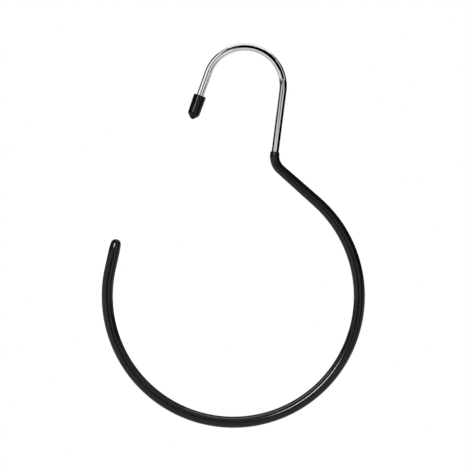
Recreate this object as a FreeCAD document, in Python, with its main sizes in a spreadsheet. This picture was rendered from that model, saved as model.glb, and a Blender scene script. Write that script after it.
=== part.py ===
import FreeCAD, Part
import math
import os
import Sketcher

# Scarf hanger: one bent wire that forms a rod hook, a shank and an open ring, a soft grip sleeve over the
# wire from the foot of the shank to the free end of the ring, and a push-on cap on the hook's free end.
# Millimetres, +Z up. The hanger lies in the XZ plane. The origin is the inside crest of the hook,
# where the hanger rests on a rod that runs along Y.

SIZES = (
    ("wire_diameter", 4.5, "bare steel wire"),
    ("wire_end_bevel", 0.4, "bevel at both cut ends of the wire"),
    ("hook_radius", 23.6, "hook's arc, at the middle of the wire"),
    ("lead_lean", 19.5, "degrees that the hook's free end leans from upright"),
    ("lead_bare", 14.8, "bare straight wire from the hook's arc to the cap"),
    ("shank_lean", 7.3, "degrees that the shank leans from upright"),
    ("shank_bare", 37.75, "bare straight wire from the hook's arc to the sleeve"),
    ("collar_rise", 1.4, "straight wire in the sleeve, above the kink"),
    ("kink_radius", 10.7, "kink's arc, at the middle of the wire"),
    ("run_slope", 41.65, "degrees that the run falls from level"),
    ("run_straight", 29.9, "straight wire from the kink to the ring"),
    ("ring_radius", 77.0, "ring's arc, at the middle of the wire"),
    ("tip_lean", 12.5, "degrees that the ring's free end leans from upright"),
    ("tip_straight", 11.2, "straight wire from the ring to the sleeve's tapered end"),
    ("tip_taper", 5.6, "straight wire in the sleeve's tapered end"),
    ("tip_cover", 1.7, "sleeve beyond the end of the wire"),
    ("tip_flat", 0.3, "flat left in the middle of the sleeve's rounded end"),
    ("fit_gap", 0.02, "between the wire and what is on it, all round"),
    ("collar_wall", 0.58, "sleeve's wall at its collar"),
    ("run_end_wall", 0.98, "sleeve's wall where the run meets the ring"),
    ("sleeve_wall", 1.16, "sleeve's wall round the rest of the ring"),
    ("tip_end_wall", 0.48, "wall that the tapered end comes down to, before rounding"),
    ("ring_swell_angle", 34.4, "degrees of the ring over which the sleeve still thickens"),
    ("collar_round", 0.35, "rounding of the collar's lip"),
    ("cap_grip", 12.0, "length of wire held in the cap"),
    ("cap_end_gap", 0.3, "air between the wire's end and the cap's floor"),
    ("cap_floor", 2.8, "cap from its floor to the end of its nose"),
    ("cap_nose", 2.9, "length of the cap's nose"),
    ("cap_nose_flat", 1.6, "diameter of the nose's end, before rounding"),
    ("cap_rim_wall", 1.58, "cap's wall at its open rim"),
    ("cap_shoulder_wall", 1.38, "cap's wall where its nose begins"),
    ("cap_rim_round", 0.5, "rounding of both edges of the cap's rim"),
    ("cap_shoulder_round", 2.6, "rounding between the cap's side and nose"),
    ("cap_nose_round", 1.6, "rounding of the nose's end"),
)

# A straight's heading is a level or upright angle less a named lean, in degrees from +X towards +Z.
LEAD_HEADING = (90, "lead_lean")
SHANK_HEADING = (-90, "shank_lean")
RUN_HEADING = (0, "run_slope")
TIP_HEADING = (90, "tip_lean")

# Points of a sketched curve, and the sketch's own axes and origin.
START = 1
END = 2
CENTRE = 3
LEVEL_AXIS = -1
UPRIGHT_AXIS = -2
ORIGIN = (-1, 1)

HOOK_DROP = "Sizes.hook_radius - Sizes.wire_diameter / 2"
BORE_DIAMETER = "Sizes.wire_diameter + 2 * Sizes.fit_gap"
CAP_DEPTH = "Sizes.cap_grip + Sizes.cap_end_gap"

# How near to a circle an edge's points have to be to lie on it.
SAME_PLACE = 0.001

doc = FreeCAD.newDocument("scarf_hanger")
sheet = doc.addObject("Spreadsheet::Sheet", "Sizes")
for row, (alias, value, note) in enumerate(SIZES, start=1):
    sheet.set(f"A{row}", note)
    sheet.set(f"B{row}", str(value))
    sheet.setAlias(f"B{row}", alias)
doc.recompute()


def size(alias):
    """The number in the sheet's cell of that name."""
    return float(sheet.get(alias))


def total(aliases):
    """The sum of several cells."""
    return sum(size(alias) for alias in aliases)


def over_wire(wall):
    """The formula for the diameter of a named wall round the wire."""
    return f"{BORE_DIAMETER} + 2 * Sizes.{wall}"


def bore_radius():
    """The radius of the bores that the wire goes into."""
    return size("wire_diameter") / 2 + size("fit_gap")


def degrees_of(heading):
    """A straight's heading in degrees."""
    level, lean = heading
    return level - size(lean)


def unit(degrees):
    """The unit vector of a sketch at an angle from its x."""
    angle = math.radians(degrees)
    return FreeCAD.Vector(math.cos(angle), math.sin(angle), 0)


def new_body(label):
    """An empty body, whose label names its file."""
    body = doc.addObject("PartDesign::Body", label)
    body.Label = label
    return body


def front_sketch(body, name):
    """An empty sketch in the body's own XZ plane, with x along X and y along Z."""
    sketch = body.newObject("Sketcher::SketchObject", name)
    plane = next(p for p in body.Origin.OriginFeatures if p.Role == "XZ_Plane")
    sketch.AttachmentSupport = [(plane, "")]
    sketch.MapMode = "FlatFace"
    return sketch


def constrain(sketch, name, expression, *definition):
    """Adds a constraint whose size follows the sheet."""
    index = sketch.addConstraint(Sketcher.Constraint(*definition))
    sketch.renameConstraint(index, name)
    sketch.setExpression(f"Constraints.{name}", expression)


class Route:
    """The wire's middle line, drawn from the hook's free end as one smooth chain in a sketch.

    A guide places what comes after it and isn't part of the finished route.
    """

    def __init__(self, body, name, lead_lengths):
        """Starts where the lead's lengths bring it to the hook's arc."""
        self.sketch = front_sketch(body, name)
        self.degrees = degrees_of(LEAD_HEADING)
        self.drop = size("hook_radius") - size("wire_diameter") / 2
        hook_start = FreeCAD.Vector(0, -self.drop, 0) + unit(self.degrees + 90) * size("hook_radius")
        self.point = hook_start - unit(self.degrees) * total(lead_lengths)
        self.last_end = None
        self.stretches = {}

    def place(self):
        """Where the route has come to, in the body's frame."""
        return FreeCAD.Vector(self.point.x, 0, self.point.y)

    def add(self, name, curve, first_end, last_end, guide):
        """Adds a curve that carries on smoothly from the one before it."""
        index = self.sketch.addGeometry(curve, guide)
        if self.last_end is not None:
            joint = Sketcher.Constraint("Tangent", *self.last_end, index, first_end)
            self.sketch.addConstraint(joint)
        self.last_end = (index, last_end)
        if not guide:
            self.stretches[name] = f"Edge{len(self.stretches) + 1}"
        return index

    def carry_on(self, name, lengths, guide=False):
        """A straight in line with what comes before it, as long as the named lengths together."""
        length = total(lengths)
        start = self.point
        self.point = start + unit(self.degrees) * length
        index = self.add(name, Part.LineSegment(start, self.point), START, END, guide)
        summed = " + ".join(f"Sizes.{alias}" for alias in lengths)
        constrain(self.sketch, f"{name}_length", summed, "Distance", index, length)
        return index

    def straight(self, name, heading, lengths, guide=False):
        """A straight on a heading of its own."""
        self.degrees = degrees_of(heading)
        index = self.carry_on(name, lengths, guide)
        level, lean = heading
        angle = math.radians(self.degrees)
        constrain(self.sketch, f"{name}_heading", f"({level} - Sizes.{lean}) * 1 deg", "Angle", index, angle)

    def bend(self, name, radius, clockwise, sweep, guide=False):
        """A bend of a named radius through some degrees. What comes after it sets its end."""
        way = -1 if clockwise else 1
        centre = self.point + unit(self.degrees + way * 90) * size(radius)
        from_centre = self.degrees - way * 90
        to_centre = from_centre + way * sweep
        self.point = centre + unit(to_centre) * size(radius)
        self.degrees += way * sweep
        circle = Part.Circle(centre, FreeCAD.Vector(0, 0, 1), size(radius))
        span = sorted((math.radians(from_centre), math.radians(to_centre)))
        ends = (END, START) if clockwise else (START, END)
        index = self.add(name, Part.ArcOfCircle(circle, *span), *ends, guide)
        constrain(self.sketch, f"{name}_radius", f"Sizes.{radius}", "Radius", index, size(radius))
        return index

    def sweep_to(self, heading, clockwise):
        """The degrees of a bend that ends on a heading."""
        turn = degrees_of(heading) - self.degrees
        return (-turn if clockwise else turn) % 360

    def hook(self, guide=False):
        """The hook's bend, hung with its inside crest at the origin."""
        index = self.bend("hook", "hook_radius", True, self.sweep_to(SHANK_HEADING, True), guide)
        self.sketch.addConstraint(Sketcher.Constraint("PointOnObject", index, CENTRE, UPRIGHT_AXIS))
        constrain(self.sketch, "hook_drop", HOOK_DROP, "DistanceY", index, CENTRE, *ORIGIN, self.drop)

    def kink(self):
        """The bend from the shank to the run."""
        self.bend("kink", "kink_radius", False, self.sweep_to(RUN_HEADING, False))

    def ring(self):
        """The bend from where the route has come to round to the ring's free end."""
        self.bend("ring", "ring_radius", True, self.sweep_to(TIP_HEADING, True))

    def spine(self, first, last):
        """What a pipe follows, from one stretch to another."""
        names = list(self.stretches)
        chosen = names[names.index(first):names.index(last) + 1]
        return (self.sketch, [self.stretches[name] for name in chosen])


def round_section(body, name, route, stretch, end, diameter):
    """A circle square to the route, at the start or end of a stretch's own curve."""
    sketch = body.newObject("Sketcher::SketchObject", name)
    sketch.AttachmentSupport = [(route.sketch, route.stretches[stretch])]
    sketch.MapMode = "NormalToEdge"
    sketch.MapPathParameter = 0.0 if end == START else 1.0
    circle = sketch.addGeometry(Part.Circle())
    sketch.addConstraint(Sketcher.Constraint("Coincident", circle, CENTRE, *ORIGIN))
    constrain(sketch, "diameter", diameter, "Diameter", circle, size("wire_diameter"))
    return sketch


def pipe(body, kind, name, spine, sections):
    """A round bar or bore along part of a route, through one section or more."""
    feature = body.newObject(f"PartDesign::{kind}", name)
    feature.Profile = sections[0]
    feature.Spine = spine
    if len(sections) > 1:
        feature.Sections = [(section, [""]) for section in sections[1:]]
        feature.Transformation = "Multisection"
    doc.recompute()
    return feature


def edges_about(feature, centre, radius):
    """The names of a feature's edges that lie on a circle of one radius about a point."""
    found = []
    for number, edge in enumerate(feature.Shape.Edges, start=1):
        middle = (edge.FirstParameter + edge.LastParameter) / 2
        points = [edge.valueAt(place) for place in (edge.FirstParameter, middle, edge.LastParameter)]
        if all(abs(point.distanceToPoint(centre) - radius) < SAME_PLACE for point in points):
            found.append(f"Edge{number}")
    return found


def soften(body, kind, name, edges, measure, formula):
    """A fillet or chamfer on edges of the body as it stands, with its size from a formula."""
    base = body.Tip
    feature = body.newObject(f"PartDesign::{kind}", name)
    feature.Base = (base, edges)
    feature.setExpression(measure, formula)
    doc.recompute()
    return feature


def print_volume(name, volume, length, diameter):
    """Shows a bar's volume beside its section times its length."""
    plain = math.pi / 4 * diameter ** 2 * length
    print(f"{name}: {length:.2f} mm long, {volume:.1f} mm3, section times length {plain:.1f} mm3")


def make_wire():
    """The steel wire, from its end in the cap to its end in the sleeve's tip."""
    body = new_body("hanger_wire")
    lead_lengths = ("cap_grip", "lead_bare")
    route = Route(body, "wire_route", lead_lengths)
    ends = [route.place()]
    route.straight("lead", LEAD_HEADING, lead_lengths)
    route.hook()
    route.straight("shank", SHANK_HEADING, ("shank_bare", "collar_rise"))
    route.kink()
    route.straight("run", RUN_HEADING, ("run_straight",))
    route.ring()
    route.straight("tip", TIP_HEADING, ("tip_straight", "tip_taper"))
    ends.append(route.place())
    doc.recompute()

    section = round_section(body, "wire_section", route, "lead", START, "Sizes.wire_diameter")
    rod = pipe(body, "AdditivePipe", "rod", route.spine("lead", "tip"), [section])
    print_volume("wire", rod.Shape.Volume, route.sketch.Shape.Length, size("wire_diameter"))
    rims = [name for end in ends for name in edges_about(rod, end, size("wire_diameter") / 2)]
    soften(body, "Chamfer", "cut_ends", rims, "Size", "Sizes.wire_end_bevel")
    return body


def make_sleeve():
    """The grip sleeve, from its collar above the kink to its closed end, bored for the wire."""
    body = new_body("ring_sleeve")
    lead_lengths = ("lead_bare",)
    route = Route(body, "sleeve_route", lead_lengths)
    route.straight("lead", LEAD_HEADING, lead_lengths, guide=True)
    route.hook(guide=True)
    route.straight("shank", SHANK_HEADING, ("shank_bare",), guide=True)
    collar = route.place()
    route.carry_on("collar", ("collar_rise",))
    route.kink()
    route.straight("run", RUN_HEADING, ("run_straight",))
    swell_sweep = size("ring_swell_angle")
    swell = route.bend("swell", "ring_radius", True, swell_sweep)
    constrain(
        route.sketch, "swell_sweep", "Sizes.ring_swell_angle * 1 deg",
        "Angle", swell, math.radians(swell_sweep),
    )
    route.ring()
    route.straight("tip", TIP_HEADING, ("tip_straight",))
    route.carry_on("taper", ("tip_taper",))
    route.carry_on("cover", ("tip_cover",))
    closed_end = route.place()
    doc.recompute()

    collar_diameter = over_wire("collar_wall")
    run_end_diameter = over_wire("run_end_wall")
    ring_diameter = over_wire("sleeve_wall")
    end_diameter = over_wire("tip_end_wall")
    at_collar = round_section(body, "collar_section", route, "collar", START, collar_diameter)
    at_run_end = round_section(body, "run_end_section", route, "run", END, run_end_diameter)
    # The ring's own curve runs back from the tip, so it ends where the swelling does.
    at_ring = round_section(body, "ring_section", route, "ring", END, ring_diameter)
    at_taper = round_section(body, "taper_section", route, "taper", START, ring_diameter)
    at_end = round_section(body, "end_section", route, "cover", END, end_diameter)
    pipe(body, "AdditivePipe", "swelling", route.spine("collar", "swell"), [at_collar, at_run_end, at_ring])
    pipe(body, "AdditivePipe", "grip", route.spine("ring", "tip"), [at_ring])
    tip = pipe(body, "AdditivePipe", "tapered_end", route.spine("taper", "cover"), [at_taper, at_end])

    # The end's rounding meets the taper and leaves the small flat.
    taper_angle = "atan((Sizes.sleeve_wall - Sizes.tip_end_wall) / (Sizes.tip_taper + Sizes.tip_cover))"
    tip_round = f"({end_diameter} - Sizes.tip_flat) / 2 / tan(45 deg - {taper_angle} / 2)"
    end_rim = edges_about(tip, closed_end, bore_radius() + size("tip_end_wall"))
    rounded = soften(body, "Fillet", "closed_end", end_rim, "Radius", tip_round)
    collar_rim = edges_about(rounded, collar, bore_radius() + size("collar_wall"))
    solid = soften(body, "Fillet", "collar_lip", collar_rim, "Radius", "Sizes.collar_round")

    solid_volume = solid.Shape.Volume
    bore = round_section(body, "bore_section", route, "collar", START, BORE_DIAMETER)
    bored = pipe(body, "SubtractivePipe", "bore", route.spine("collar", "taper"), [bore])
    bore_length = route.sketch.Shape.Length - size("tip_cover")
    print_volume("sleeve's bore", solid_volume - bored.Shape.Volume, bore_length, 2 * bore_radius())
    return body


def outline(sketch, points):
    """Closed outline of straight lines, the first of them from the first point to the second."""
    lines = []
    for start, end in zip(points, points[1:] + points[:1]):
        lines.append(sketch.addGeometry(Part.LineSegment(start, end)))
    for line, following in zip(lines, lines[1:] + lines[:1]):
        sketch.addConstraint(Sketcher.Constraint("Coincident", line, END, following, START))
    return lines


def make_cap():
    """The hook's cap: a bullet with a blind bore, turned about its own Z, with its rim at z = 0."""
    body = new_body("hook_cap")
    rim_radius = bore_radius() + size("cap_rim_wall")
    shoulder_radius = bore_radius() + size("cap_shoulder_wall")
    flat_radius = size("cap_nose_flat") / 2
    depth = size("cap_grip") + size("cap_end_gap")
    length = depth + size("cap_floor")
    side = length - size("cap_nose")

    profile = front_sketch(body, "cap_profile")
    rim, flank, nose, flat, core, floor, bore = outline(profile, [
        FreeCAD.Vector(bore_radius(), 0, 0),
        FreeCAD.Vector(rim_radius, 0, 0),
        FreeCAD.Vector(shoulder_radius, -side, 0),
        FreeCAD.Vector(flat_radius, -length, 0),
        FreeCAD.Vector(0, -length, 0),
        FreeCAD.Vector(0, -depth, 0),
        FreeCAD.Vector(bore_radius(), -depth, 0),
    ])
    for level in (flat, floor):
        profile.addConstraint(Sketcher.Constraint("Horizontal", level))
    for end in (START, END):
        profile.addConstraint(Sketcher.Constraint("PointOnObject", rim, end, LEVEL_AXIS))
        profile.addConstraint(Sketcher.Constraint("PointOnObject", core, end, UPRIGHT_AXIS))
    profile.addConstraint(Sketcher.Constraint("Vertical", bore))
    across = (
        ("bore_radius", BORE_DIAMETER, bore, bore_radius()),
        ("rim_radius", over_wire("cap_rim_wall"), flank, rim_radius),
        ("shoulder_radius", over_wire("cap_shoulder_wall"), nose, shoulder_radius),
        ("flat_radius", "Sizes.cap_nose_flat", flat, flat_radius),
    )
    for name, diameter, line, radius in across:
        constrain(profile, name, f"({diameter}) / 2", "DistanceX", *ORIGIN, line, START, radius)
    down = (
        ("side_depth", f"{CAP_DEPTH} + Sizes.cap_floor - Sizes.cap_nose", nose, side),
        ("nose_depth", f"{CAP_DEPTH} + Sizes.cap_floor", flat, length),
        ("floor_depth", CAP_DEPTH, floor, depth),
    )
    for name, formula, line, drop in down:
        constrain(profile, name, formula, "DistanceY", line, START, *ORIGIN, drop)

    turned = body.newObject("PartDesign::Revolution", "bullet")
    turned.Profile = profile
    turned.ReferenceAxis = (profile, ["V_Axis"])
    turned.Angle = 360
    doc.recompute()
    rim_centre = FreeCAD.Vector(0, 0, 0)
    rim_edges = edges_about(turned, rim_centre, rim_radius) + edges_about(turned, rim_centre, bore_radius())
    rolled = soften(body, "Fillet", "rolled_rim", rim_edges, "Radius", "Sizes.cap_rim_round")
    shoulder_edge = edges_about(rolled, FreeCAD.Vector(0, 0, -side), shoulder_radius)
    shouldered = soften(body, "Fillet", "shoulder", shoulder_edge, "Radius", "Sizes.cap_shoulder_round")
    nose_edge = edges_about(shouldered, FreeCAD.Vector(0, 0, -length), flat_radius)
    soften(body, "Fillet", "nose_end", nose_edge, "Radius", "Sizes.cap_nose_round")

    body.Placement = FreeCAD.Placement(
        FreeCAD.Vector(0, 0, 0),
        FreeCAD.Rotation(FreeCAD.Vector(0, 1, 0), size("lead_lean")),
    )
    lean = "Sizes.lead_lean * 1 deg"
    body.setExpression("Placement.Rotation.Angle", lean)
    body.setExpression(
        "Placement.Base.x",
        f"-(Sizes.hook_radius * cos({lean}) + Sizes.lead_bare * sin({lean}))",
    )
    body.setExpression(
        "Placement.Base.z",
        f"Sizes.hook_radius * sin({lean}) - Sizes.lead_bare * cos({lean}) - ({HOOK_DROP})",
    )
    return body


bodies = [make_wire(), make_sleeve(), make_cap()]
doc.recompute()

for item in doc.Objects:
    if "Invalid" in item.State or "Error" in item.State:
        raise RuntimeError(f"{item.Label} failed: {item.State}")
for body in bodies:
    shape = body.Shape
    if shape.isNull() or not shape.isValid() or len(shape.Solids) != 1:
        raise RuntimeError(f"{body.Label} isn't one valid solid")

os.makedirs("parts", exist_ok=True)
for body in bodies:
    body.Shape.exportStep(f"parts/{body.Label}.step")
    box = body.Shape.optimalBoundingBox(False)
    extent = f"{box.XLength:.2f} x {box.YLength:.2f} x {box.ZLength:.2f} mm"
    print(f"{body.Label}: {body.Shape.Volume:.1f} mm3 in {extent}")
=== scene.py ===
"""Open-ring scarf hanger: the looks of its wire, sleeve and cap, in a small white studio.

Metres, +Z up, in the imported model's own frame: the hanger lies in the XZ plane and the origin is the inside
crest of its hook. Every piece is a skin turned round a middle line: the wire and the sleeve round the bent
wire's line, the cap round a short straight one.
"""

import logging
import math
from dataclasses import dataclass
from enum import Enum

import bpy
from bpy.types import ID, Collection, Material, Mesh, Node, NodeSocket, Object, World
from mathutils import Matrix, Vector, noise


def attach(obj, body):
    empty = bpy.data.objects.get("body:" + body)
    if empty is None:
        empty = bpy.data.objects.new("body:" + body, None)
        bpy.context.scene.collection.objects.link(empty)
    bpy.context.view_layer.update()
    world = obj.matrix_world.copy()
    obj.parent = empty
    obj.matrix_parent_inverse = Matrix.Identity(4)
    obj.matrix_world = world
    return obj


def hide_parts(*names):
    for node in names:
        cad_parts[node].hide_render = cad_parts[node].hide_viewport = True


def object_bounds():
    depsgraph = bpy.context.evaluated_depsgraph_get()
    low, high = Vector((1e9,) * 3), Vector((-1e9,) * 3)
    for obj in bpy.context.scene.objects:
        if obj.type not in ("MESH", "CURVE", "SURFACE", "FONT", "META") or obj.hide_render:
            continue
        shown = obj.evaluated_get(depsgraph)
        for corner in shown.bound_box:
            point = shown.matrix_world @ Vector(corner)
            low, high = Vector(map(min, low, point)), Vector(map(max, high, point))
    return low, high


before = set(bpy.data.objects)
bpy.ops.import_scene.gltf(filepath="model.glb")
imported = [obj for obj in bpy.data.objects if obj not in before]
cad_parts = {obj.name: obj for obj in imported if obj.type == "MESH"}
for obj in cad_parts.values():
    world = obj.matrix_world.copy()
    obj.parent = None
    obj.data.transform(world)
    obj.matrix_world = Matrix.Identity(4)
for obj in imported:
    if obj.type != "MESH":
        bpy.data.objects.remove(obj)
CAD_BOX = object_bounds()

LOG = logging.getLogger("scarf_hanger")

BODY = "root"
DEPTH = Vector((0.0, 1.0, 0.0))
STRAIGHTENED = "straightened"
SHARP_ANGLE = math.radians(30)
WHITE = (1.0, 1.0, 1.0, 1.0)

Colour = tuple[float, float, float, float]
OutlinePoint = tuple[float, float]
Span = tuple[float, float]
Socket = NodeSocket


class Slot(Enum):
    """Names for material slots, one for each piece; nothing in the script uses them."""

    WIRE = "chromed_wire"
    SLEEVE = "sleeve_vinyl"
    CAP = "cap_vinyl"


class Tone(Enum):
    """How much light a reflection card gives back to the chrome, where 1 is white."""

    BLACK = 0.0
    CHARCOAL = 0.07
    GREY = 0.2
    WHITE = 1.0


class Shell(Enum):
    """Where the reflection cards stand: how far from the hook, and how far off a piece still sees them.

    The second length keeps a card that is meant for the hook out of the ring's reflections.
    """

    HOOK = (0.4, 0.5)
    HAZE = (0.41, 0.5)
    PAPER = (0.42, 0.5)
    CROWN = (0.08, 0.09)
    TURN = (0.045, 0.045)
    FRONT = (0.6, 0.66)
    SPOT = (0.6, 0.64)
    RING = (1.0, 1.3)

    @property
    def distance(self) -> float:
        """How far from the hook its cards stand."""
        return self.value[0]

    @property
    def seen_within(self) -> float:
        """How far off a piece still sees its cards."""
        return self.value[1]


class Ease(Enum):
    """How a value goes from one level to another."""

    EVEN = "LINEAR"
    SOFT = "SMOOTHSTEP"


class LampFace(Enum):
    """The outlines of the soft lamps, each with its share of the box round it."""

    BOX = ("RECTANGLE", 1.0)
    OVAL = ("ELLIPSE", math.pi / 4)


class Falls(Enum):
    """What a light falls on, given one piece."""

    ON_IT_ALONE = "INCLUDE"
    ON_ALL_BUT_IT = "EXCLUDE"


def between(first: float, last: float, share: float) -> float:
    """Gives the value that lies some share of the way from one to another."""
    return first + (last - first) * share


def heading_vector(degrees: float) -> Vector:
    """Gives the unit vector of a heading in the hanger's plane.

    Args:
        degrees: the heading, from +X towards +Z.

    Returns:
        The vector, square to the depth.
    """
    angle = math.radians(degrees)
    return Vector((math.cos(angle), 0.0, math.sin(angle)))


@dataclass(frozen=True)
class Station:
    """A place on a middle line.

    Attributes:
        point: where it is.
        across: the unit vector to the right of the line's run, in the hanger's plane.
    """

    point: Vector
    across: Vector


@dataclass(frozen=True)
class Stretch:
    """A straight or a bend of a middle line.

    Attributes:
        start: where it begins.
        heading: the way it runs at its start, in degrees.
        length: how long it is.
        turn: the degrees that it turns through, to the left where positive, and 0 for a straight.
    """

    start: Vector
    heading: float
    length: float
    turn: float = 0.0

    def at(self, reach: float) -> Station:
        """Gives the place that lies some way along the stretch.

        Args:
            reach: the length from the stretch's start, which may run past the end of a straight.

        Returns:
            The station there.
        """
        if not self.turn:
            point = self.start + heading_vector(self.heading) * reach
            return Station(point, heading_vector(self.heading - 90))
        radius = self.length / math.radians(abs(self.turn))
        side = math.copysign(90, self.turn)
        turned = self.heading + self.turn * reach / self.length
        centre = self.start + heading_vector(self.heading + side) * radius
        return Station(centre - heading_vector(turned + side) * radius, heading_vector(turned - 90))


class MiddleLine:
    """A smooth line of straights and bends in the hanger's plane, read by its length from the start."""

    def __init__(self, start: Vector, heading: float) -> None:
        """Starts a line with nothing on it yet.

        Args:
            start: where the line begins.
            heading: the way it sets off, in degrees.
        """
        self.point = start
        self.heading = heading
        self.length = 0.0
        self.stretches: list[Stretch] = []

    def straight(self, length: float) -> None:
        """Carries on in a straight of some length."""
        self._add(Stretch(self.point, self.heading, length))

    def bend(self, radius: float, turn: float) -> None:
        """Carries on in a bend of some radius that turns through some degrees, left where positive."""
        self._add(Stretch(self.point, self.heading, radius * math.radians(abs(turn)), turn))

    def _add(self, stretch: Stretch) -> None:
        """Puts a stretch at the line's end.

        Args:
            stretch: the stretch, which starts where the line ends.
        """
        self.stretches.append(stretch)
        self.point = stretch.at(stretch.length).point
        self.heading += stretch.turn
        self.length += stretch.length

    def at(self, reach: float) -> Station:
        """Gives the place that lies some way along the line.

        Args:
            reach: the length from the line's start.

        Returns:
            The station there, on the last stretch where the reach is past the end.
        """
        left = reach
        for stretch in self.stretches[:-1]:
            if left <= stretch.length:
                return stretch.at(left)
            left -= stretch.length
        return self.stretches[-1].at(left)


@dataclass(frozen=True)
class HangerShape:
    """How the wire is bent, with every length at the middle of the wire and every angle in degrees.

    Attributes:
        wire_radius: the wire's own radius.
        hook_radius: the radius of the hook.
        lead_lean: the lean of the hook's free end from upright.
        lead_bare: the bare wire between the cap and the hook.
        shank_lean: the shank's lean from upright.
        shank_bare: the bare wire between the hook and the sleeve's collar.
        collar_rise: the straight between the collar and the kink.
        kink_radius: the radius of the kink below the shank.
        run_slope: the slope from level of the run between the kink and the ring.
        run_straight: the length of that run.
        ring_radius: the radius of the ring.
        tip_lean: the lean of the ring's free end from upright.
        tip_straight: the straight wire between the ring and the last of its free end.
        tip_taper: the last of the straight wire.
        tip_cover: the sleeve beyond the end of the wire.
        cap_grip: the wire inside the cap.
        fit_gap: the gap between the wire and the bores that it goes into.
    """

    wire_radius: float = 0.00225
    hook_radius: float = 0.0236
    lead_lean: float = 19.5
    lead_bare: float = 0.0148
    shank_lean: float = 7.3
    shank_bare: float = 0.03775
    collar_rise: float = 0.0014
    kink_radius: float = 0.0107
    run_slope: float = 41.65
    run_straight: float = 0.0299
    ring_radius: float = 0.077
    tip_lean: float = 12.5
    tip_straight: float = 0.0112
    tip_taper: float = 0.0056
    tip_cover: float = 0.0017
    cap_grip: float = 0.012
    fit_gap: float = 0.00002

    @property
    def lead_heading(self) -> float:
        """The way the hook's free end runs, up to the hook."""
        return 90 - self.lead_lean

    @property
    def bore_radius(self) -> float:
        """The radius of the bores that the wire goes into."""
        return self.wire_radius + self.fit_gap

    @property
    def hook_sweep(self) -> float:
        """The degrees that the hook turns through, to the right."""
        return 180 + self.shank_lean - self.lead_lean

    @property
    def collar_reach(self) -> float:
        """The length of the line up to the sleeve's collar."""
        hook = self.hook_radius * math.radians(self.hook_sweep)
        return self.cap_grip + self.lead_bare + hook + self.shank_bare

    def line(self) -> MiddleLine:
        """Lays out the wire's middle line, from its end in the cap to the end of the sleeve's tip.

        Returns:
            The line, which runs past the wire's own end by the tip's cover.
        """
        hook_centre = Vector((0.0, 0.0, self.wire_radius - self.hook_radius))
        hook_start = hook_centre + heading_vector(self.lead_heading + 90) * self.hook_radius
        lead = self.cap_grip + self.lead_bare
        line = MiddleLine(hook_start - heading_vector(self.lead_heading) * lead, self.lead_heading)
        line.straight(lead)
        line.bend(self.hook_radius, -self.hook_sweep)
        line.straight(self.shank_bare + self.collar_rise)
        line.bend(self.kink_radius, 90 + self.shank_lean - self.run_slope)
        line.straight(self.run_straight)
        line.bend(self.ring_radius, -(270 - self.run_slope + self.tip_lean))
        line.straight(self.tip_straight + self.tip_taper + self.tip_cover)
        return line


@dataclass(frozen=True)
class Corner:
    """A corner of an outline.

    Attributes:
        reach: its length along the middle line.
        radius: its distance from the line.
        rounding: the radius that it is rounded to, and 0 where it stays sharp.
    """

    reach: float
    radius: float
    rounding: float = 0.0


class Outline:
    """Half of a turned skin's section, from one place on the middle line to another."""

    ARC_STEP = math.radians(6)

    def __init__(self, corners: list[Corner]) -> None:
        """Rounds the corners.

        Args:
            corners: the outline's corners in order, the first and the last of them on the line.
        """
        first, last = corners[0], corners[-1]
        self.points: list[OutlinePoint] = [(first.reach, first.radius)]
        for before, corner, after in zip(corners, corners[1:], corners[2:]):
            self.points += self._rounded(before, corner, after)
        self.points.append((last.reach, last.radius))

    def _rounded(self, before: Corner, corner: Corner, after: Corner) -> list[OutlinePoint]:
        """Gives the points that stand for a corner.

        Args:
            before: the corner before it.
            corner: the corner itself.
            after: the corner after it.

        Returns:
            The corner's own point, or points on the arc that rounds it.
        """
        here = Vector((corner.reach, corner.radius))
        if not corner.rounding:
            return [here.to_tuple()]
        back = (Vector((before.reach, before.radius)) - here).normalized()
        onward = (Vector((after.reach, after.radius)) - here).normalized()
        half = back.angle(onward) / 2
        centre = here + (back + onward).normalized() * corner.rounding / math.sin(half)
        first = here + back * corner.rounding / math.tan(half) - centre
        sweep = math.pi - 2 * half
        way = math.copysign(1, back.y * onward.x - back.x * onward.y)
        count = max(2, math.ceil(sweep / self.ARC_STEP))
        points = []
        for number in range(count + 1):
            angle = way * sweep * number / count
            cosine, sine = math.cos(angle), math.sin(angle)
            turned = Vector((first.x * cosine - first.y * sine, first.x * sine + first.y * cosine))
            points.append((centre + turned).to_tuple())
        return points

    def divided(self, step: float) -> list[OutlinePoint]:
        """Gives the outline with its long lines divided, so that it can follow a bend.

        Args:
            step: the longest line that stays whole.

        Returns:
            The points, with the outline's own points among them.
        """
        points = [self.points[0]]
        for (reach, radius), (next_reach, next_radius) in zip(self.points, self.points[1:]):
            count = max(1, math.ceil(abs(next_reach - reach) / step))
            for number in range(1, count + 1):
                share = number / count
                points.append((between(reach, next_reach, share), between(radius, next_radius, share)))
        return points


@dataclass(frozen=True)
class Facets:
    """How fine a turned skin is, and how even.

    Attributes:
        step: the longest face along the piece.
        sides: the number of faces round it.
        ripple: how far the surface may wander from its true radius.
        ripple_length: the length of such a wandering.
    """

    step: float
    sides: int
    ripple: float = 0.0
    ripple_length: float = 1.0


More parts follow.
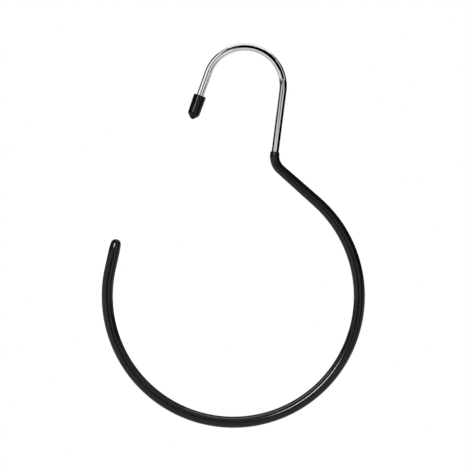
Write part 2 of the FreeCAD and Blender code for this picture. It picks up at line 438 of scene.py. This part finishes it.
class TurnedSkin:
    """A closed mesh turned round a middle line.

    Each vertex keeps its place on the straightened piece, where the finishes are laid out.
    """

    def __init__(self, line: MiddleLine, facets: Facets) -> None:
        """Sets up an empty skin.

        Args:
            line: the middle line.
            facets: how fine it is, and how even.
        """
        self.line = line
        self.facets = facets
        self.places: list[Vector] = []
        self.straightened: list[Vector] = []
        self.faces: list[tuple[int, ...]] = []

    def mesh(self, name: str, outline: Outline) -> Mesh:
        """Turns an outline into a mesh.

        Args:
            name: the mesh's name.
            outline: the outline, which starts and ends on the middle line.

        Returns:
            The mesh, shaded smooth but for its sharp edges.
        """
        points = outline.divided(self.facets.step)
        sides = self.facets.sides
        self._add_pole(points[0][0])
        rings = [self._add_ring(reach, radius) for reach, radius in points[1:-1]]
        last = self._add_pole(points[-1][0])
        for side in range(sides):
            following = (side + 1) % sides
            self.faces.append((0, rings[0] + following, rings[0] + side))
            self.faces.append((last, rings[-1] + side, rings[-1] + following))
            for ring, further in zip(rings, rings[1:]):
                self.faces.append((ring + side, ring + following, further + following, further + side))
        mesh = bpy.data.meshes.new(name)
        mesh.from_pydata(self.places, [], self.faces)
        kept = mesh.attributes.new(STRAIGHTENED, "FLOAT_VECTOR", "POINT")
        kept.data.foreach_set("vector", [value for place in self.straightened for value in place])
        mesh.shade_smooth()
        mesh.set_sharp_from_angle(angle=SHARP_ANGLE)
        return mesh

    def _add_pole(self, reach: float) -> int:
        """Adds a vertex on the middle line.

        Args:
            reach: its length along the line.

        Returns:
            The vertex's number.
        """
        self.places.append(self.line.at(reach).point)
        self.straightened.append(Vector((reach, 0.0, 0.0)))
        return len(self.places) - 1

    def _add_ring(self, reach: float, radius: float) -> int:
        """Adds the vertices round one place of the line.

        Args:
            reach: the place's length along the line.
            radius: the vertices' distance from the line.

        Returns:
            The number of the ring's first vertex.
        """
        station = self.line.at(reach)
        facets = self.facets
        first = len(self.places)
        for side in range(facets.sides):
            angle = 2 * math.pi * side / facets.sides
            flat = Vector((reach, radius * math.cos(angle), radius * math.sin(angle)))
            wandered = radius + facets.ripple * noise.noise(flat / facets.ripple_length)
            outward = station.across * math.cos(angle) + DEPTH * math.sin(angle)
            self.places.append(station.point + outward * wandered)
            self.straightened.append(flat)
        return first


class NodeGraph:
    """Short-hand for wiring the nodes of a material or the world.

    Most of a noise lies in its usual span, between its low and its high.
    """

    NOISE_SPAN: Span = (0.3, 0.7)

    def __init__(self, owner: Material | World) -> None:
        """Empties the owner's nodes and keeps them at hand.

        Args:
            owner: the material or the world.
        """
        owner.use_nodes = True
        self.tree = owner.node_tree
        self.tree.nodes.clear()

    def add(self, kind: str, inputs: dict, **settings: object) -> Node:
        """Adds a node.

        Args:
            kind: the node's type, after the words that all shader nodes begin with.
            inputs: what goes into its sockets, by name or number: an output to link, or a value.
            settings: the node's own settings.

        Returns:
            The node.
        """
        node = self.tree.nodes.new("ShaderNode" + kind)
        for name, value in settings.items():
            setattr(node, name, value)
        for socket, value in inputs.items():
            if isinstance(value, Socket):
                self.tree.links.new(value, node.inputs[socket])
            else:
                node.inputs[socket].default_value = value
        return node

    def place(self) -> Socket:
        """Gives the surface's place on the straightened piece."""
        return self.add("Attribute", {}, attribute_name=STRAIGHTENED).outputs["Vector"]

    def mottle(self, place: Socket, grain: float, detail: float = 2.0) -> Socket:
        """Adds an even noise.

        Args:
            place: where the noise is read.
            grain: the size of its blotches, in metres.
            detail: how many finer noises lie in it.

        Returns:
            The noise, about 0.5 on average.
        """
        node = self.add("TexNoise", {"Vector": place, "Scale": 1 / grain, "Detail": detail})
        return node.outputs["Fac"]

    def streaks(self, place: Socket, length: float, width: float, detail: float = 3.0) -> Socket:
        """Adds a noise drawn out along the piece.

        Args:
            place: where the noise is read.
            length: how long a streak is, in metres.
            width: how wide it is.
            detail: how many finer noises lie in it.

        Returns:
            The noise, about 0.5 on average.
        """
        drawn = self.add("Mapping", {"Vector": place, "Scale": (1 / length, 1 / width, 1 / width)})
        node = self.add("TexNoise", {"Vector": drawn.outputs["Vector"], "Scale": 1.0, "Detail": detail})
        return node.outputs["Fac"]

    def ranged(self, value: Socket, low: float, high: float) -> Socket:
        """Maps a noise to values, from one at its low to another at its high."""
        return self.mapped(value, self.NOISE_SPAN, (low, high), Ease.EVEN)

    def tinted(self, value: Socket, low: Colour, high: Colour) -> Socket:
        """Maps a noise to colours.

        Args:
            value: the noise.
            low: the colour at its low.
            high: the colour at its high.

        Returns:
            The colour.
        """
        node = self.add("ValToRGB", {"Fac": value})
        first, last = node.color_ramp.elements
        first.position, last.position = self.NOISE_SPAN
        first.color, last.color = low, high
        return node.outputs["Color"]

    def bump(
        self,
        height: Socket,
        depth: float,
        strength: float = 1.0,
        under: Socket | None = None,
    ) -> Socket:
        """Adds relief.

        Args:
            height: how high the surface stands, from 0 to 1.
            depth: what a height of 1 comes to, in metres.
            strength: how much of the relief shows.
            under: the normal that the relief lies on, where other relief has bent it.

        Returns:
            The bent normal.
        """
        inputs = {"Height": height, "Distance": depth, "Strength": strength}
        if under is not None:
            inputs["Normal"] = under
        return self.add("Bump", inputs).outputs["Normal"]

    def mapped(self, value: Socket, edges: Span, levels: Span, ease: Ease = Ease.SOFT) -> Socket:
        """Goes from one level to another.

        Args:
            value: what is held against the edges.
            edges: where the change starts and where it ends.
            levels: the level up to the first edge and the one past the second.
            ease: how it goes between them.

        Returns:
            The level.
        """
        node = self.add("MapRange", {
            "Value": value,
            "From Min": edges[0],
            "From Max": edges[1],
            "To Min": levels[0],
            "To Max": levels[1],
        }, interpolation_type=ease.value)
        return node.outputs["Result"]

    def glow(self, strength: float | Socket, colour: Colour = WHITE) -> Socket:
        """Adds a surface's own light, of some strength and colour."""
        return self.add("Emission", {"Color": colour, "Strength": strength}).outputs["Emission"]

    def backdrop(self, strength: float | Socket) -> Socket:
        """Adds the world's own white light, of some strength."""
        return self.add("Background", {"Color": WHITE, "Strength": strength}).outputs["Background"]

    def mixed(self, share: Socket, first: Socket, second: Socket) -> Socket:
        """Mixes two shaders, by the share that the second has."""
        return self.add("MixShader", {0: share, 1: first, 2: second}).outputs["Shader"]

    def by_ray(self, seen: Socket, mirrored: Socket, lighting: Socket) -> Socket:
        """Chooses a shader by the kind of ray that meets it.

        Args:
            seen: what the eye sees, straight or through something clear.
            mirrored: what reflections show.
            lighting: what lights everything else.

        Returns:
            The shader.
        """
        rays = self.add("LightPath", {}).outputs
        eye = self.add("Math", {
            0: rays["Is Camera Ray"],
            1: rays["Is Transmission Ray"],
        }, operation="MAXIMUM")
        unseen = self.mixed(rays["Is Glossy Ray"], lighting, mirrored)
        return self.mixed(eye.outputs["Value"], unseen, seen)

    def surface(self, shader: Socket) -> None:
        """Ends a material in a shader."""
        self.add("OutputMaterial", {"Surface": shader})


@dataclass(frozen=True)
class ChromePlate:
    """Bright chrome on drawn wire, with faint draw lines and a little haze.

    Attributes:
        bright: the colour where it is clear.
        dull: the colour in the haze.
        polish: the roughness where it is clear.
        haze: the roughness in the haze.
        haze_size: the size of the hazy patches.
        haze_detail: how many finer patches lie in them.
        line_length: the length of the draw lines.
        line_width: their width.
        line_depth: their depth.
        line_strength: how much of their relief shows.
    """

    bright: Colour = (0.86, 0.865, 0.875, 1.0)
    dull: Colour = (0.79, 0.795, 0.81, 1.0)
    polish: float = 0.03
    haze: float = 0.07
    haze_size: float = 0.006
    haze_detail: float = 4.0
    line_length: float = 0.02
    line_width: float = 0.00012
    line_depth: float = 0.000002
    line_strength: float = 0.3

    def material(self) -> Material:
        """Makes the material.

        Returns:
            The material, for a piece with straightened places.
        """
        made = bpy.data.materials.new("bright_chrome")
        graph = NodeGraph(made)
        place = graph.place()
        haze = graph.mottle(place, self.haze_size, self.haze_detail)
        lines = graph.streaks(place, self.line_length, self.line_width)
        shader = graph.add("BsdfPrincipled", {
            "Base Color": graph.tinted(haze, self.bright, self.dull),
            "Metallic": 1.0,
            "Roughness": graph.ranged(haze, self.polish, self.haze),
            "Normal": graph.bump(lines, self.line_depth, self.line_strength),
        })
        graph.surface(shader.outputs["BSDF"])
        return made


@dataclass(frozen=True)
class BlackVinyl:
    """Black vinyl with a fine grain, soft dimples and patches that are a little duller or shinier.

    Attributes:
        name: the material's name.
        deep: the colour in the grain.
        worn: the colour on its high spots.
        sleek: the roughness of its shiniest patches.
        dull: the roughness of its dullest.
        gloss: how strongly it reflects, where 0.5 is usual for plastics.
        grain: the size of the grain.
        grain_depth: how deep the grain is.
        dimple: the size of the soft dimples.
        dimple_depth: how deep they are.
        patch: the size of the patches.
        patch_detail: how many finer patches lie in them.
    """

    name: str
    deep: Colour
    worn: Colour
    sleek: float
    dull: float
    gloss: float
    grain: float
    grain_depth: float
    dimple: float
    dimple_depth: float
    patch: float
    patch_detail: float = 3.0

    def material(self) -> Material:
        """Makes the material.

        Returns:
            The material, for a piece with straightened places.
        """
        made = bpy.data.materials.new(self.name)
        graph = NodeGraph(made)
        place = graph.place()
        grain = graph.mottle(place, self.grain)
        dimples = graph.mottle(place, self.dimple)
        patches = graph.mottle(place, self.patch, self.patch_detail)
        soft = graph.bump(dimples, self.dimple_depth)
        shader = graph.add("BsdfPrincipled", {
            "Base Color": graph.tinted(grain, self.deep, self.worn),
            "Roughness": graph.ranged(patches, self.sleek, self.dull),
            "Specular IOR Level": self.gloss,
            "Normal": graph.bump(grain, self.grain_depth, under=soft),
        })
        graph.surface(shader.outputs["BSDF"])
        return made


SLEEVE_FINISH = BlackVinyl(
    name="satin_sleeve_vinyl",
    deep=(0.0035, 0.0035, 0.0044, 1.0),
    worn=(0.009, 0.009, 0.011, 1.0),
    sleek=0.1,
    dull=0.15,
    gloss=0.36,
    grain=0.00045,
    grain_depth=0.000002,
    dimple=0.004,
    dimple_depth=0.000012,
    patch=0.012,
)
CAP_FINISH = BlackVinyl(
    name="smooth_cap_vinyl",
    deep=(0.0022, 0.0022, 0.0027, 1.0),
    worn=(0.0055, 0.0055, 0.0065, 1.0),
    sleek=0.12,
    dull=0.17,
    gloss=0.22,
    grain=0.0003,
    grain_depth=0.0000025,
    dimple=0.003,
    dimple_depth=0.000008,
    patch=0.006,
)


def put_in_scene(name: str, data: ID) -> Object:
    """Makes an object and puts it in the scene.

    Args:
        name: the object's name.
        data: its mesh, light or camera.

    Returns:
        The object.
    """
    made = bpy.data.objects.new(name, data)
    bpy.context.scene.collection.objects.link(made)
    return made


def show_piece(mesh: Mesh, node: str) -> Object:
    """Puts a mesh in the scene as the piece that stands for a node.

    Args:
        mesh: the piece's mesh, already in its place.
        node: the node that it stands for, whose place and body it takes.

    Returns:
        The piece.
    """
    piece = put_in_scene(mesh.name, mesh)
    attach(piece, BODY)
    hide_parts(node)
    return piece


@dataclass(frozen=True)
class HangerWire:
    """The bent wire, whole, with a bevel at both cut ends.

    Attributes:
        shape: how it is bent.
        bevel: the size of the bevels.
        facets: how fine its mesh is.
        finish: its finish.
    """

    shape: HangerShape
    bevel: float = 0.0004
    facets: Facets = Facets(step=0.0006, sides=64)
    finish: ChromePlate = ChromePlate()

    def build(self) -> Object:
        """Makes the wire's mesh, in place of its node.

        Returns:
            The piece, not dressed yet.
        """
        line = self.shape.line()
        radius = self.shape.wire_radius
        end = line.length - self.shape.tip_cover
        outline = Outline([
            Corner(0.0, 0.0),
            Corner(0.0, radius - self.bevel),
            Corner(self.bevel, radius),
            Corner(end - self.bevel, radius),
            Corner(end, radius - self.bevel),
            Corner(end, 0.0),
        ])
        mesh = TurnedSkin(line, self.facets).mesh("chromed_wire", outline)
        return show_piece(mesh, "hanger_wire")

    def dress(self, piece: Object) -> None:
        """Gives the wire its chrome."""
        piece.data.materials.append(self.finish.material())


@dataclass(frozen=True)
class RingSleeve:
    """The soft sleeve, from its collar to its closed tip, with its bore.

    The wall thickens from the collar on, quickly at first, until some way round the ring.

    Attributes:
        shape: how the wire in it is bent.
        collar_wall: the wall at the collar.
        ring_wall: the wall round the ring.
        tip_end_wall: the wall that the tapered end comes down to, before rounding.
        tip_flat: the flat left in the middle of the rounded end.
        swell_angle: the degrees round the ring where the wall is at its full thickness.
        swell_power: how much quicker the wall thickens at first.
        swell_steps: the number of lines that draw the thickening.
        collar_round: the rounding of the collar's lip.
        collar_tuck: how far the lip is tucked in.
        bead: how far the bead behind the lip stands out.
        bead_reach: how far behind the lip it lies.
        bead_round: the rounding of the bead.
        taper_length: the length of the tapered end.
        taper_round: the rounding where the taper starts.
        facets: how fine its mesh is, and how even.
        finish: its finish.
    """

    shape: HangerShape
    collar_wall: float = 0.00058
    ring_wall: float = 0.00116
    tip_end_wall: float = 0.00048
    tip_flat: float = 0.0003
    swell_angle: float = 34.4
    swell_power: float = 1.82
    swell_steps: int = 24
    collar_round: float = 0.0003
    collar_tuck: float = 0.00014
    bead: float = 0.00005
    bead_reach: float = 0.0015
    bead_round: float = 0.016
    taper_length: float = 0.0052
    taper_round: float = 0.035
    facets: Facets = Facets(step=0.0007, sides=64, ripple=0.000012, ripple_length=0.011)
    finish: BlackVinyl = SLEEVE_FINISH

    def swelling(self) -> list[Corner]:
        """Draws the thickening of the wall.

        Returns:
            The outline's corners from past the collar to where the wall is at its full thickness.
        """
        shape = self.shape
        kink = shape.kink_radius * math.radians(90 + shape.shank_lean - shape.run_slope)
        swell = shape.ring_radius * math.radians(self.swell_angle)
        length = shape.collar_rise + kink + shape.run_straight + swell
        corners = []
        for number in range(1, self.swell_steps + 1):
            share = number / self.swell_steps
            thin = (self.ring_wall - self.collar_wall) * (1 - share) ** self.swell_power
            radius = shape.bore_radius + self.ring_wall - thin
            corners.append(Corner(shape.collar_reach + share * length, radius))
        return corners

    def build(self) -> Object:
        """Makes the sleeve's mesh, in place of its node.

        Returns:
            The piece, not dressed yet.
        """
        shape = self.shape
        line = shape.line()
        bore = shape.bore_radius
        collar = shape.collar_reach
        end = line.length
        bore_end = end - shape.tip_cover
        taper_start = end - self.taper_length
        taper = math.atan2(self.ring_wall - self.tip_end_wall, self.taper_length)
        end_radius = bore + self.tip_end_wall
        tip_round = (end_radius - self.tip_flat / 2) / math.tan(math.pi / 4 - taper / 2)
        outline = Outline([
            Corner(bore_end, 0.0),
            Corner(bore_end, bore),
            Corner(collar, bore),
            Corner(collar, bore + self.collar_wall - self.collar_tuck, self.collar_round),
            Corner(collar + self.bead_reach, bore + self.collar_wall + self.bead, self.bead_round),
            *self.swelling(),
            Corner(taper_start, bore + self.ring_wall, self.taper_round),
            Corner(end, end_radius, tip_round),
            Corner(end, 0.0),
        ])
        mesh = TurnedSkin(line, self.facets).mesh("grip_sleeve", outline)
        return show_piece(mesh, "ring_sleeve")

    def dress(self, piece: Object) -> None:
        """Gives the sleeve its vinyl."""
        piece.data.materials.append(self.finish.material())


@dataclass(frozen=True)
class HookCap:
    """The push-on cap: a bullet with a rolled rim and a blind bore.

    Attributes:
        shape: how the wire in it is bent.
        end_gap: the gap between the wire's end and the end of the bore.
        floor: the vinyl beyond the bore.
        nose: the length of the nose.
        nose_flat: the radius of the flat on the nose, before rounding.
        rim_wall: the wall at the rim.
        shoulder_wall: the wall where the nose starts.
        rim_round: the rounding of the rim.
        shoulder_round: the rounding where the nose starts.
        nose_round: the rounding of the nose.
        facets: how fine its mesh is, and how even.
        finish: its finish.
    """

    shape: HangerShape
    end_gap: float = 0.0003
    floor: float = 0.0028
    nose: float = 0.0029
    nose_flat: float = 0.0008
    rim_wall: float = 0.00158
    shoulder_wall: float = 0.00138
    rim_round: float = 0.0005
    shoulder_round: float = 0.0026
    nose_round: float = 0.0016
    facets: Facets = Facets(step=0.0004, sides=72, ripple=0.000008, ripple_length=0.006)
    finish: BlackVinyl = CAP_FINISH

    def build(self) -> Object:
        """Makes the cap's mesh, in place of its node.

        Returns:
            The piece, not dressed yet.
        """
        shape = self.shape
        rim_place = shape.line().at(shape.cap_grip).point
        depth = shape.cap_grip + self.end_gap
        length = depth + self.floor
        line = MiddleLine(rim_place, shape.lead_heading + 180)
        line.straight(length)
        bore = shape.bore_radius
        outline = Outline([
            Corner(depth, 0.0),
            Corner(depth, bore),
            Corner(0.0, bore, self.rim_round),
            Corner(0.0, bore + self.rim_wall, self.rim_round),
            Corner(length - self.nose, bore + self.shoulder_wall, self.shoulder_round),
            Corner(length, self.nose_flat, self.nose_round),
            Corner(length, 0.0),
        ])
        mesh = TurnedSkin(line, self.facets).mesh("end_cap", outline)
        return show_piece(mesh, "hook_cap")

    def dress(self, piece: Object) -> None:
        """Gives the cap its vinyl."""
        piece.data.materials.append(self.finish.material())


def aim_vector(off_axis: float, clock: float) -> Vector:
    """Gives a direction from the hanger, told from the line to the camera.

    Args:
        off_axis: the degrees from that line, 0 towards the camera and 180 straight behind the hanger.
        clock: the degrees round it, from +X towards +Z.

    Returns:
        The unit vector.
    """
    angle = math.radians(off_axis)
    return heading_vector(clock) * math.sin(angle) - DEPTH * math.cos(angle)


@dataclass(frozen=True)
class Card:
    """A curved card that only reflections see, such as a black flag that gives chrome its dark bands.

    Attributes:
        name: the card's name.
        tone: how light it is.
        clock: its span round the line to the camera, in degrees.
        first: its span from that line where the clock span starts, in degrees.
        last: its span from that line where the clock span ends.
        shell: where it stands.
        step: the size of its faces, in degrees.
    """

    name: str
    tone: Tone
    clock: Span
    first: Span
    last: Span
    shell: Shell = Shell.HOOK
    step: float = 3.0

    def build(self, middle: Vector) -> Object:
        """Makes the card.

        Args:
            middle: the place that the card curves round.

        Returns:
            The card, which isn't part of the hanger.
        """
        columns = math.ceil((self.clock[1] - self.clock[0]) / self.step)
        rows = math.ceil(max(self.first[1] - self.first[0], self.last[1] - self.last[0]) / self.step)
        places = []
        for row in range(rows + 1):
            for column in range(columns + 1):
                share = column / columns
                low = between(self.first[0], self.last[0], share)
                high = between(self.first[1], self.last[1], share)
                clock = between(*self.clock, share)
                aim = aim_vector(low + (high - low) * row / rows, clock)
                places.append(middle + aim * self.shell.distance)
        faces = []
        for row in range(rows):
            for column in range(columns):
                corner = row * (columns + 1) + column
                above = corner + columns + 1
                faces.append((corner, corner + 1, above + 1, above))
        mesh = bpy.data.meshes.new(self.name)
        mesh.from_pydata(places, [], faces)
        mesh.materials.append(self._material())
        card = put_in_scene(self.name, mesh)
        card.visible_camera = False
        card.visible_diffuse = False
        card.visible_shadow = False
        card.visible_transmission = False
        return card

    def _material(self) -> Material:
        """Makes the card's plain paper.

        Returns:
            The material, clear for pieces that are too far off.
        """
        made = bpy.data.materials.new(self.name)
        graph = NodeGraph(made)
        clear = graph.add("BsdfTransparent", {"Color": WHITE}).outputs["BSDF"]
        length = graph.add("LightPath", {}).outputs["Ray Length"]
        far = graph.add("Math", {0: length, 1: self.shell.seen_within}, operation="GREATER_THAN")
        graph.surface(graph.mixed(far.outputs["Value"], graph.glow(self.tone.value), clear))
        return made


@dataclass(frozen=True)
class SoftBox:
    """A soft lamp that faces the hanger.

    Attributes:
        name: the lamp's name.
        off_axis: its degrees from the line to the camera.
        clock: its degrees round that line.
        distance: how far it stands from the place that it faces.
        width: its size round that line, before it is rolled.
        depth: its size away from that line, before it is rolled.
        glow: how bright its face is, where 1 is white.
        face: the outline of its face.
        roll: the degrees that it is turned about its own aim.
    """

    name: str
    off_axis: float
    clock: float
    distance: float
    width: float
    depth: float
    glow: float
    face: LampFace = LampFace.BOX
    roll: float = 0.0

    def build(self, middle: Vector) -> Object:
        """Makes the lamp.

        Args:
            middle: the place that it faces.

        Returns:
            The lamp.
        """
        light = bpy.data.lights.new(self.name, "AREA")
        outline, share = self.face.value
        light.shape = outline
        light.size = self.width
        light.size_y = self.depth
        light.energy = self.glow * math.pi * self.width * self.depth * share
        lamp = put_in_scene(self.name, light)
        toward = aim_vector(self.off_axis, self.clock)
        outward = aim_vector(self.off_axis + 90, self.clock)
        facing = Matrix((outward.cross(toward), outward, toward)).transposed()
        turn = Matrix.Rotation(math.radians(self.roll), 3, "Z")
        lamp.location = middle + toward * self.distance
        lamp.rotation_euler = (facing @ turn).to_euler()
        lamp.visible_camera = False
        return lamp


@dataclass(frozen=True)
class PaperFloor:
    """A pale paper floor below the hanging hanger, white to the eye but for the hanger's soft shadow.

    Attributes:
        drop: how far below the hanger it lies.
        reach: how far it goes to every side.
        paper: its colour.
        lift: its own light, which makes it white round the shadow.
        shadow_reach: how far from below the hook the shadow shows whole.
        white_reach: how far from there the shadow has faded to white.
        mirrored_tint: the floor's colour in reflections.
        mirrored_near: how bright it is there, near the camera.
        mirrored_far: how bright it is there, farther back.
        near_edge: the depth where the near brightness ends.
        far_edge: the depth where the far one starts.
    """

    drop: float = 0.07
    reach: float = 12.0
    paper: Colour = (0.6, 0.605, 0.63, 1.0)
    lift: float = 0.38
    shadow_reach: float = 0.12
    white_reach: float = 0.29
    mirrored_tint: Colour = (0.97, 0.975, 1.0, 1.0)
    mirrored_near: float = 0.88
    mirrored_far: float = 0.62
    near_edge: float = -0.31
    far_edge: float = -0.2

    def build(self, lowest: float) -> Object:
        """Makes the floor.

        Args:
            lowest: the height of the hanger's lowest point.

        Returns:
            The floor, which isn't part of the hanger.
        """
        height = lowest - self.drop
        corners = [(-1, -1), (1, -1), (1, 1), (-1, 1)]
        places = [(x * self.reach, y * self.reach, height) for x, y in corners]
        mesh = bpy.data.meshes.new("paper_floor")
        mesh.from_pydata(places, [], [(0, 1, 2, 3)])
        mesh.materials.append(self._material(height))
        floor = put_in_scene("paper_floor", mesh)
        return floor

    def _material(self, height: float) -> Material:
        """Makes the paper, whose far parts are plain white to the eye.

        Args:
            height: the floor's height.

        Returns:
            The material.
        """
        made = bpy.data.materials.new("pale_paper")
        graph = NodeGraph(made)
        paper = graph.add("BsdfDiffuse", {"Color": self.paper}).outputs["BSDF"]
        lifted = graph.add("AddShader", {0: paper, 1: graph.glow(self.lift)}).outputs["Shader"]
        place = graph.add("TexCoord", {}).outputs["Object"]
        apart = graph.add("VectorMath", {0: place, 1: (0.0, 0.0, height)}, operation="DISTANCE")
        far = graph.mapped(apart.outputs["Value"], (self.shadow_reach, self.white_reach), (0.0, 1.0))
        seen = graph.mixed(far, lifted, graph.glow(1.0))
        depth = graph.add("SeparateXYZ", {"Vector": place}).outputs["Y"]
        edges = (self.near_edge, self.far_edge)
        brightness = graph.mapped(depth, edges, (self.mirrored_near, self.mirrored_far))
        mirrored = graph.glow(brightness, self.mirrored_tint)
        graph.surface(graph.by_ray(seen, mirrored, paper))
        return made


@dataclass(frozen=True)
class WhiteSurround:
    """White paper all round: plain white to the eye, a grey room in reflections, and a soft even light.

    Attributes:
        ambient: the strength of the even light.
        mirrored_front: how bright the room is in reflections, on the camera's side.
        mirrored_back: how bright it is there, on the far side.
        front_edge: the depth of the unit vector at which the front's brightness ends.
        back_edge: the depth of the one at which the back's starts.
    """

    ambient: float = 0.35
    mirrored_front: float = 0.62
    mirrored_back: float = 0.2
    front_edge: float = -0.2
    back_edge: float = 0.5

    def build(self) -> World:
        """Makes the world.

        Returns:
            The world, which is the scene's.
        """
        world = bpy.data.worlds.new("white_surround")
        bpy.context.scene.world = world
        graph = NodeGraph(world)
        way = graph.add("TexCoord", {}).outputs["Generated"]
        depth = graph.add("SeparateXYZ", {"Vector": way}).outputs["Y"]
        edges = (self.front_edge, self.back_edge)
        brightness = graph.mapped(depth, edges, (self.mirrored_front, self.mirrored_back))
        seen = graph.backdrop(1.0)
        mirrored = graph.backdrop(brightness)
        lighting = graph.backdrop(self.ambient)
        graph.add("OutputWorld", {"Surface": graph.by_ray(seen, mirrored, lighting)})
        return world


@dataclass(frozen=True)
class PhotoCamera:
    """The photograph's view: square on, from far off, through a long lens.

    Attributes:
        distance: how far the camera stands from the hanger's plane.
        frame_width: the width of what it sees there.
        centre: the middle of what it sees there, along X and Z.
        sensor: the camera's sensor, in its own millimetres.
        sight: how far it sees.
    """

    distance: float = 1.0
    frame_width: float = 0.2871
    centre: tuple[float, float] = (-0.00586, -0.11258)
    sensor: float = 36.0
    sight: float = 100.0

    def build(self) -> Object:
        """Makes the camera.

        Returns:
            The camera, which is the scene's.
        """
        data = bpy.data.cameras.new("photo_camera")
        data.sensor_width = self.sensor
        data.lens = self.sensor * self.distance / self.frame_width
        data.clip_end = self.sight
        camera = put_in_scene("photo_camera", data)
        camera.location = (self.centre[0], -self.distance, self.centre[1])
        camera.rotation_euler = DEPTH.to_track_quat("-Z", "Z").to_euler()
        bpy.context.scene.camera = camera
        return camera


class Studio:
    """The white studio: its floor, surround, lamps, reflection cards and camera.

    The cards and the hook's own lamp face the hook's middle, and the other lamps the hanger's.
    """

    CARDS = (
        Card("front_flag", Tone.BLACK, (45, 108), (0, 57), (0, 60)),
        Card("front_flag_right", Tone.BLACK, (20, 45), (31, 40), (3, 48)),
        Card("front_shoulder", Tone.BLACK, (45, 65), (44, 71), (44, 68)),
        Card("front_flag_left", Tone.BLACK, (108, 122), (0, 60), (0, 21)),
        Card("crown_flag", Tone.BLACK, (56, 82), (17.5, 40), (11.5, 40), Shell.CROWN),
        Card("turn_flag_low", Tone.BLACK, (29, 47), (47.5, 60), (26, 50), Shell.TURN),
        Card("turn_flag", Tone.BLACK, (47, 63), (26, 50), (19.9, 28.5), Shell.TURN),
        Card("turn_flag_high", Tone.BLACK, (63, 80), (19.9, 28.5), (17.2, 18.8), Shell.TURN),
        Card("camera_body", Tone.BLACK, (193, 300), (0, 34), (0, 24), Shell.FRONT),
        Card("left_gap", Tone.BLACK, (122, 157), (0, 21), (0, 24)),
        Card("left_edge", Tone.CHARCOAL, (110, 160), (56, 78), (80, 132)),
        Card("left_back_edge", Tone.BLACK, (160, 184), (62, 128), (62, 128)),
        Card("left_spot", Tone.BLACK, (172.4, 178.8), (24, 62), (37, 74), Shell.SPOT),
        Card("right_start", Tone.BLACK, (4, 14), (38, 57), (35, 57)),
        Card("right_haze", Tone.GREY, (15, 45), (28, 57), (40, 60), Shell.HAZE),
        Card("right_flag", Tone.BLACK, (-12, 14.5), (40, 156), (54, 156)),
        Card("right_turn", Tone.CHARCOAL, (14.5, 30), (68, 156), (66, 137)),
        Card("right_upper_flag", Tone.BLACK, (30, 55), (66, 137), (88, 108)),
        Card("right_line", Tone.BLACK, (-50, -13), (52, 62), (45, 78)),
        Card("left_front_paper", Tone.WHITE, (104, 159), (12, 80), (12, 80), Shell.PAPER),
        Card("top_paper", Tone.WHITE, (16, 125), (58, 135), (58, 135), Shell.PAPER),
        Card("back_paper", Tone.WHITE, (0, 360), (154, 180), (154, 180), Shell.PAPER),
        Card("ring_gap", Tone.BLACK, (118, 159), (38, 62), (38, 62), Shell.RING),
    )
    HOOK_MIDDLE = Vector((0.0, 0.0, -0.03))
    LAMPS = (
        SoftBox(
            "key", off_axis=26.2, clock=136.2, distance=2.2, width=0.92, depth=0.44, glow=27.0,
            face=LampFace.OVAL, roll=-44.0,
        ),
        SoftBox("top", off_axis=90.0, clock=105.0, distance=1.3, width=2.2, depth=0.8, glow=1.8),
    )
    HOOK_LAMP = SoftBox(
        "hook_lamp", off_axis=33.5, clock=160.2, distance=0.363, width=0.03, depth=0.032, glow=24.0,
    )

    def __init__(self, box: tuple[Vector, Vector], wire: Object, cap: Object) -> None:
        """Takes what the studio is set up round.

        Args:
            box: the hanger's box, which everything stands round.
            wire: the chromed wire, which mirrors the cards.
            cap: the hook's cap, which has a small lamp of its own.
        """
        self.lowest = box[0].z
        self.middle = (box[0] + box[1]) / 2
        self.wire = wire
        self.cap = cap

    @staticmethod
    def _lit(name: str, piece: Object, falls: Falls) -> Collection:
        """Makes a list of what a light falls on.

        Args:
            name: the list's name.
            piece: the piece that the list is about.
            falls: whether the light falls on that piece alone or on all but it.

        Returns:
            The list, as a collection.
        """
        lit = bpy.data.collections.new(name)
        lit.objects.link(piece)
        lit.collection_objects[0].light_linking.link_state = falls.value
        return lit

    def build(self) -> None:
        """Sets up the whole studio."""
        PaperFloor().build(self.lowest)
        WhiteSurround().build()
        chrome = self._lit("chrome", self.wire, Falls.ON_IT_ALONE)
        for card in self.CARDS:
            card.build(self.HOOK_MIDDLE).light_linking.receiver_collection = chrome
        all_but_chrome = self._lit("all_but_chrome", self.wire, Falls.ON_ALL_BUT_IT)
        for lamp in self.LAMPS:
            lamp.build(self.middle).light_linking.receiver_collection = all_but_chrome
        hook_end = self._lit("hook_end", self.cap, Falls.ON_IT_ALONE)
        self.HOOK_LAMP.build(self.HOOK_MIDDLE).light_linking.receiver_collection = hook_end
        PhotoCamera().build()
        bpy.context.scene.view_settings.view_transform = "Standard"
        LOG.info("studio: %d cards, %d lamps and the hook's own", len(self.CARDS), len(self.LAMPS))


def main() -> None:
    """Builds and dresses the pieces, then the studio round them."""
    logging.basicConfig(level=logging.INFO, format="%(name)s: %(message)s")
    shape = HangerShape()
    pieces = []
    for part in (HangerWire(shape), RingSleeve(shape), HookCap(shape)):
        piece = part.build()
        part.dress(piece)
        pieces.append(piece)
        LOG.info("%s: %d faces", piece.name, len(piece.data.polygons))
    wire, _, cap = pieces
    Studio(CAD_BOX, wire, cap).build()


if __name__ == "__main__":
    main()
